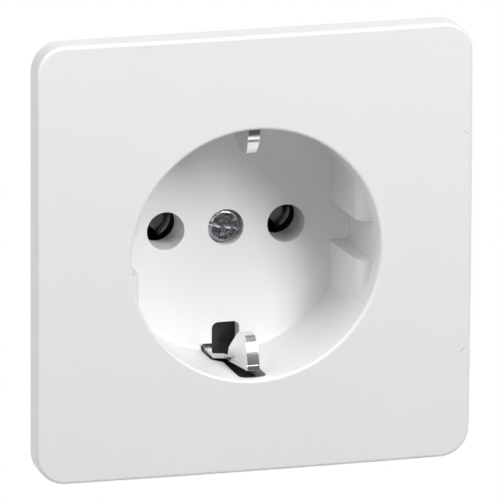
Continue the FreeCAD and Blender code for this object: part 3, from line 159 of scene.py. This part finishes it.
# The camera: a long lens a little to the left of the outlet and above it, as in the photograph.
# The aim is a point on the plate's rear plane, and the frame is square.
aim = Vector((0.00027, -0.0010, -0.00040))
aside, above, tilt = math.radians(-15.9), math.radians(14.9), math.radians(0.3)
distance_mm, pixels_per_mm, frame_pixels, sensor_mm = 1670, 6.62, 500, 36
backward = Vector((
    math.sin(aside) * math.cos(above), -math.cos(aside) * math.cos(above), math.sin(above)
))
sideways = (-backward).cross(Vector((0, 0, 1))).normalized()
upward = sideways.cross(-backward)
across = sideways * math.cos(tilt) + upward * math.sin(tilt)
upright = upward * math.cos(tilt) - sideways * math.sin(tilt)
lens = bpy.data.cameras.new("long_lens")
lens.sensor_width = sensor_mm
lens.lens = sensor_mm * pixels_per_mm * distance_mm / frame_pixels
lens.clip_start = 0.05
lens.clip_end = 60
camera = bpy.data.objects.new("camera", lens)
bpy.context.collection.objects.link(camera)
turn = Matrix((across, upright, backward)).transposed().to_4x4()
camera.matrix_world = Matrix.Translation(aim + backward * (distance_mm / 1000)) @ turn
bpy.context.scene.camera = camera
bpy.context.scene.view_settings.view_transform = "Standard"


# The cover: one moulding in white thermoplastic. Its mould is spark-eroded, so its gloss is soft.
# Its colour is even, with a hint of flow in the plastic and a very fine grain.
def finish_for(name, color, roughness, metallic=0.0):
    material = bpy.data.materials.new(name)
    material.use_nodes = True
    surface = material.node_tree.nodes["Principled BSDF"]
    surface.inputs["Base Color"].default_value = (*color, 1)
    surface.inputs["Roughness"].default_value = roughness
    surface.inputs["Metallic"].default_value = metallic
    return material, material.node_tree, surface


def soft_edges(tree, surface, radius):
    rounding = tree.nodes.new("ShaderNodeBevel")
    rounding.inputs["Radius"].default_value = radius
    tree.links.new(rounding.outputs["Normal"], surface.inputs["Normal"])


def mottle(tree, size, detail, squeeze=(1, 1, 1)):
    place = tree.nodes.new("ShaderNodeTexCoord")
    mapping = tree.nodes.new("ShaderNodeMapping")
    mapping.inputs["Scale"].default_value = squeeze
    tree.links.new(place.outputs["Object"], mapping.inputs["Vector"])
    noise = tree.nodes.new("ShaderNodeTexNoise")
    noise.inputs["Scale"].default_value = 1.0 / size
    noise.inputs["Detail"].default_value = detail
    tree.links.new(mapping.outputs["Vector"], noise.inputs["Vector"])
    return noise.outputs["Fac"]


def grain(tree, surface, size, depth, strength, squeeze=(1, 1, 1), detail=3.0):
    bump = tree.nodes.new("ShaderNodeBump")
    bump.inputs["Distance"].default_value = depth
    bump.inputs["Strength"].default_value = strength
    tree.links.new(mottle(tree, size, detail, squeeze), bump.inputs["Height"])
    if surface.inputs["Normal"].links:
        tree.links.new(surface.inputs["Normal"].links[0].from_socket, bump.inputs["Normal"])
    tree.links.new(bump.outputs["Normal"], surface.inputs["Normal"])


def cloudy(tree, surface, size, low, high, socket="Base Color", detail=2.0):
    ramp = tree.nodes.new("ShaderNodeValToRGB")
    low_end, high_end = ramp.color_ramp.elements
    low_end.position, high_end.position = 0.32, 0.68
    if socket == "Base Color":
        low_end.color, high_end.color = (*low, 1), (*high, 1)
    else:
        low_end.color, high_end.color = (low, low, low, 1), (high, high, high, 1)
    tree.links.new(mottle(tree, size, detail), ramp.inputs["Fac"])
    tree.links.new(ramp.outputs["Color"], surface.inputs[socket])


cover_plastic, tree, surface = finish_for("cover_plastic", (0.885, 0.885, 0.895), roughness=0.34)
soft_edges(tree, surface, radius=0.00015)
cloudy(tree, surface, size=0.030, low=(0.878, 0.878, 0.888), high=(0.892, 0.892, 0.902))
cloudy(tree, surface, size=0.0040, low=0.31, high=0.37, socket="Roughness", detail=3.0)
grain(tree, surface, size=0.00030, depth=0.0000012, strength=0.15)
surface.inputs["IOR"].default_value = 1.5


# The moulding's two roundings are tighter in the photograph than on the CAD cover: about 0.55 mm at
# the plate's edge and 0.45 mm at the well's mouth. A copy of the cover is drawn in towards the sharp
# corner there, which keeps each rounding an arc, with the CAD cover's own normals.
touching, rim_margin = 0.000001, 0.00001


def merged_copy(name, node):
    piece = bpy.data.objects.new(name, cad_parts[node].data.copy())
    bpy.context.collection.objects.link(piece)
    bpy.ops.object.select_all(action="DESELECT")
    piece.select_set(True)
    bpy.context.view_layer.objects.active = piece
    bpy.ops.mesh.customdata_custom_splitnormals_clear()
    bpy.ops.object.mode_set(mode="EDIT")
    bpy.ops.mesh.select_all(action="SELECT")
    bpy.ops.mesh.remove_doubles(threshold=touching)
    bpy.ops.object.mode_set(mode="OBJECT")
    return piece


def coat(piece, material):
    piece.data.materials.clear()
    piece.data.materials.append(material)


half_side, corner_radius, well_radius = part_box("cover")[1].x, 0.0045, 0.0195
face_middle, face_radius = -0.006, 0.9636
edge_zone, edge_share, rim_zone, rim_share = 0.00146, 0.40, 0.00094, 0.50


def face_level(across, height):
    return face_middle + face_radius - math.sqrt(face_radius ** 2 - across ** 2 - height ** 2)


shell = merged_copy("cover_moulding", "cover")
cad_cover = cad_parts["cover"].data
cad_faces = iter(cad_cover.polygons)
kept_normals = []
for face in shell.data.polygons:
    face.use_smooth = True
    twin = next(cad_faces)
    while (twin.center - face.center).length > touching:
        twin = next(cad_faces)
    twin_corners = {
        loop: cad_cover.vertices[cad_cover.loops[loop].vertex_index].co for loop in twin.loop_indices
    }
    for corner in face.vertices:
        place = shell.data.vertices[corner].co
        loop = min(twin_corners, key=lambda at: (twin_corners[at] - place).length)
        kept_normals.append(tuple(cad_cover.corner_normals[loop].vector))
straight = half_side - corner_radius
for vertex in shell.data.vertices:
    place = vertex.co
    below_face = place.y - face_level(place.x, place.z)
    if below_face > edge_zone:
        continue
    from_axis = math.hypot(place.x, place.z)
    past_x, past_z = max(abs(place.x) - straight, 0), max(abs(place.z) - straight, 0)
    if past_x + past_z > 0:
        past = math.hypot(past_x, past_z)
        inside = corner_radius - past
        if inside < edge_zone:
            stretch = (corner_radius - edge_share * inside) / past
            place.x = math.copysign(min(abs(place.x), straight) + past_x * stretch, place.x)
            place.z = math.copysign(min(abs(place.z), straight) + past_z * stretch, place.z)
            place.y = face_level(place.x, place.z) + edge_share * below_face
    elif well_radius - rim_margin < from_axis < well_radius + rim_zone and below_face < rim_zone:
        stretch = (well_radius + rim_share * (from_axis - well_radius)) / from_axis
        place.x *= stretch
        place.z *= stretch
        place.y = face_level(place.x, place.z) + rim_share * below_face
shell.data.normals_split_custom_set(kept_normals)
coat(shell, cover_plastic)
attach(shell, "outlet")
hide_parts("cover")


# The zinc-plated steel: support ring with its rivets, claws and the small rear screws.
# Plated sheet shows a faint bloom, fine rolling lines and small bright edges.
def dress(material, *names):
    for name in names:
        coat(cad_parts[name], material)


zinc_steel, tree, surface = finish_for("zinc_steel", (0.62, 0.64, 0.66), roughness=0.32, metallic=1.0)
cloudy(tree, surface, size=0.004, low=(0.52, 0.54, 0.57), high=(0.72, 0.73, 0.74), detail=5.0)
cloudy(tree, surface, size=0.0015, low=0.22, high=0.42, socket="Roughness", detail=5.0)
grain(tree, surface, size=0.0004, depth=0.00001, strength=0.35)
dress(zinc_steel, "support_ring", "ring_rivets", "terminal_cover_screws", "claw_right", "claw_left")

# The cover screw: cold-headed steel, zinc-plated. Its cross recess is struck by a punch, which leaves the
# face round it uneven;
# a bump gives that unevenness, and painted glints in the base colour stand for the flecks of light it
# catches.
screw_zinc, tree, surface = finish_for("screw_zinc", (0.45, 0.46, 0.48), roughness=0.24, metallic=1.0)
# Painted glints: the base colour is mottled in small bright and dark flecks that stand for light caught
# on the uneven face.
cloudy(tree, surface, size=0.0007, low=(0.26, 0.265, 0.28), high=(0.66, 0.67, 0.69), detail=3.0)
grain(tree, surface, size=0.0007, depth=0.00012, strength=0.8, detail=1.5)
dress(screw_zinc, "cover_screw")


# The earth bow: nickel-plated spring strip, bent in a press, with drawing marks along its length.
# The press leaves the front of each clip a little crowned. On a copy of the CAD strip, fine cuts
# across its two ends carry that crown, which fades out towards the rear.
def cut_across(place, way):
    bpy.ops.mesh.bisect(plane_co=place, plane_no=way)
    bpy.ops.mesh.select_all(action="SELECT")


bow_low, bow_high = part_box("earth_bow")
crown, crown_height, crown_depth = 0.00037, 0.0027, 0.0047
height_cuts, height_step, depth_cuts, front_zone = 15, 0.0005, 8, 0.0003
strip = merged_copy("earth_bow_strip", "earth_bow")
bpy.ops.object.mode_set(mode="EDIT")
bpy.ops.mesh.select_all(action="SELECT")
for step in range(1, height_cuts + 1):
    for level in (bow_low.z + step * height_step, bow_high.z - step * height_step):
        cut_across((0, 0, level), (0, 0, 1))
for step in range(1, depth_cuts + 1):
    cut_across((0, bow_low.y + step * crown_depth / depth_cuts, 0), (0, 1, 0))
bpy.ops.object.mode_set(mode="OBJECT")
front_heights = [v.co.z for v in strip.data.vertices if v.co.y < bow_low.y + front_zone]
foot_low, foot_high = min(front_heights), max(front_heights)
for vertex in strip.data.vertices:
    fade = 1 - (vertex.co.y - bow_low.y) / crown_depth
    if fade > 0:
        height = foot_high - vertex.co.z if vertex.co.z > 0 else vertex.co.z - foot_low
        share = max(height, 0) / crown_height
        push = crown * (share ** 2 if share < 1 else 2 * share - 1)
        vertex.co.y += push * fade ** 2 * (3 - 2 * fade)
bpy.ops.object.shade_smooth_by_angle(angle=math.radians(25))
nickel_strip, tree, surface = finish_for("nickel_strip", (0.80, 0.80, 0.79), roughness=0.14, metallic=1.0)
soft_edges(tree, surface, radius=0.00012)
cloudy(tree, surface, size=0.002, low=0.11, high=0.18, socket="Roughness", detail=4.0)
grain(tree, surface, size=0.0012, depth=0.000003, strength=0.25, squeeze=(8, 1, 1))
coat(strip, nickel_strip)
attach(strip, "outlet")
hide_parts("earth_bow")

# The insulating base is moulded in black thermoset. The terminal cover behind it is a grey
# thermoplastic, held by three small screws. Both are matt.
base_plastic, tree, surface = finish_for("base_plastic", (0.05, 0.05, 0.055), roughness=0.55)
cloudy(tree, surface, size=0.006, low=(0.045, 0.045, 0.05), high=(0.065, 0.065, 0.07), detail=4.0)
grain(tree, surface, size=0.0005, depth=0.00001, strength=0.4)
dress(base_plastic, "base")
lid_plastic, tree, surface = finish_for("lid_plastic", (0.55, 0.56, 0.57), roughness=0.5)
cloudy(tree, surface, size=0.008, low=(0.52, 0.53, 0.54), high=(0.57, 0.58, 0.59))
grain(tree, surface, size=0.0004, depth=0.000008, strength=0.4)
dress(lid_plastic, "terminal_cover")

# The release buttons: orange thermoplastic, so that they are found at a glance. Each slides in
# its slot of the terminal cover, held back by a flange, and its foot bends two clamp springs.
button_plastic, tree, surface = finish_for("button_plastic", (0.75, 0.28, 0.05), roughness=0.35)
cloudy(tree, surface, size=0.003, low=(0.70, 0.25, 0.045), high=(0.78, 0.30, 0.055))
grain(tree, surface, size=0.0003, depth=0.000006, strength=0.3)
dress(button_plastic, "live_release_button", "neutral_release_button", "earth_release_button")

# The claw screws: cold-headed and zinc-plated, with a rolled right-hand thread of 0.6 mm pitch.
# The thread is cut into a copy of the CAD screw, so its crests keep the CAD diameter.
thread_pitch, thread_depth, thread_start, thread_steps = 0.0006, 0.00034, 0.0008, 6
screw_across, screw_height, crest_share = 0.028, 0.0095, 0.98
for side, hand in (("right", 1), ("left", -1)):
    node = "claw_screw_" + side
    across_place, height_place = hand * screw_across, -hand * screw_height
    screw_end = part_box(node)[1].y
    screw = merged_copy(node + "_threaded", node)
    bpy.ops.object.mode_set(mode="EDIT")
    bpy.ops.mesh.select_all(action="SELECT")
    level = thread_start
    while level < screw_end:
        cut_across((0, level, 0), (0, 1, 0))
        level += thread_pitch / thread_steps
    bpy.ops.object.mode_set(mode="OBJECT")
    shank = max(
        math.hypot(v.co.x - across_place, v.co.z - height_place)
        for v in screw.data.vertices if v.co.y > thread_start
    )
    for vertex in screw.data.vertices:
        right, up = vertex.co.x - across_place, vertex.co.z - height_place
        if vertex.co.y < thread_start - touching or math.hypot(right, up) < crest_share * shank:
            continue
        turns = (vertex.co.y - thread_start) / thread_pitch - math.atan2(right, up) / math.tau
        groove = 1 - abs(2 * (turns % 1) - 1)
        run_in = min((vertex.co.y - thread_start) / thread_pitch, 1)
        waist = 1 - thread_depth / shank * groove * run_in
        vertex.co.x = across_place + right * waist
        vertex.co.z = height_place + up * waist
    bpy.ops.object.shade_smooth_by_angle(angle=math.radians(35))
    coat(screw, zinc_steel)
    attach(screw, node)
    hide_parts(node)

# The live parts: pin contacts of tin-plated brass, dull inside, each one piece with the busbar
# that its wires are clamped on. A stainless grip spring round each presses its two blades together.
contact_plated, tree, surface = finish_for(
    "contact_plated", (0.62, 0.62, 0.63), roughness=0.22, metallic=1.0
)
cloudy(tree, surface, size=0.003, low=(0.54, 0.54, 0.55), high=(0.68, 0.68, 0.69), detail=4.0)
grain(tree, surface, size=0.0004, depth=0.000008, strength=0.3)
dress(contact_plated, "live_contact", "neutral_contact")
spring_steel, tree, surface = finish_for("spring_steel", (0.56, 0.57, 0.59), roughness=0.25, metallic=1.0)
cloudy(tree, surface, size=0.002, low=0.18, high=0.32, socket="Roughness", detail=4.0)
grain(tree, surface, size=0.0008, depth=0.000005, strength=0.3, squeeze=(6, 1, 1))
dress(spring_steel, "live_grip_spring", "neutral_grip_spring")

# The clamp springs: stainless strip, bent over so that a free leg presses each wire on its busbar.
# A release button pushes the bend forward.
for pole in ("live", "neutral", "earth"):
    node = pole + "_clamp_springs"
    pair = merged_copy(node + "_bent", node)
    bpy.ops.object.shade_smooth_by_angle(angle=math.radians(30))
    coat(pair, spring_steel)
    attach(pair, "outlet")
    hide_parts(node)
    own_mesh(pair)
